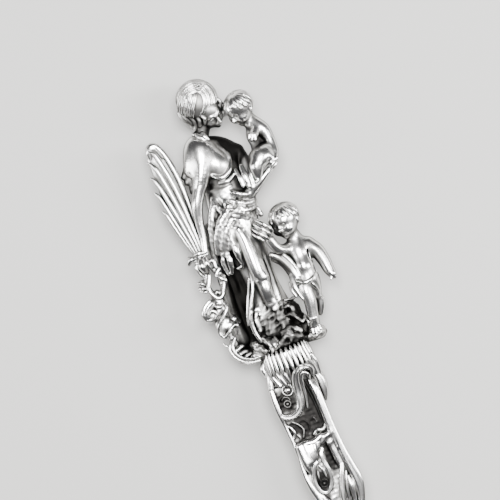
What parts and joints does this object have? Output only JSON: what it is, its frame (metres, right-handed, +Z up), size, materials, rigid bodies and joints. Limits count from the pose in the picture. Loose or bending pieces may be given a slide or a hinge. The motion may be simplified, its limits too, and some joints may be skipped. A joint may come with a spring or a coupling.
{
  "type": "figural souvenir spoon",
  "caption": "Long spoon with an oval bowl, round shaft and pierced cast handle, topped by a draped standing figure with a palm frond and small children.",
  "frame": {"origin": "on the table under the middle of the spoon's bounding box, the spoon lying on its back", "axes": "+Y along the handle from the bowl's tip to the figure's crown, +Z up and out of the figure's front, +X to the right of someone facing the figure"},
  "size_m": [0.038, 0.1799, 0.0105],
  "materials": {
    "polished_silver": "hand-polished silver, fine wear scratches",
    "cast_silver": "cast and chased silver, oxidised dark in the recesses",
    "oxidised_silver": "cast silver left matt and dark"
  },
  "bodies": {
    "root": {"bowl": "polished_silver", "heel_drop": "polished_silver", "shaft": "polished_silver", "knop": "polished_silver", "stem_casting": "cast_silver", "stem_scroll_upper": "cast_silver", "stem_scroll_lower": "cast_silver", "stem_leaf": "cast_silver", "stem_cartouche": "cast_silver", "side_leaf": "cast_silver", "stem_beads": "cast_silver", "capital": "cast_silver", "finial_peg": "oxidised_silver", "ground": "oxidised_silver", "shell_scroll": "cast_silver", "rocaille_bracket": "cast_silver", "cloak": "oxidised_silver", "woman_figure": "cast_silver", "right_arm": "cast_silver", "palm_frond": "cast_silver", "held_child": "cast_silver", "standing_child": "cast_silver", "sash": "cast_silver"}
  },
  "joints": []
}
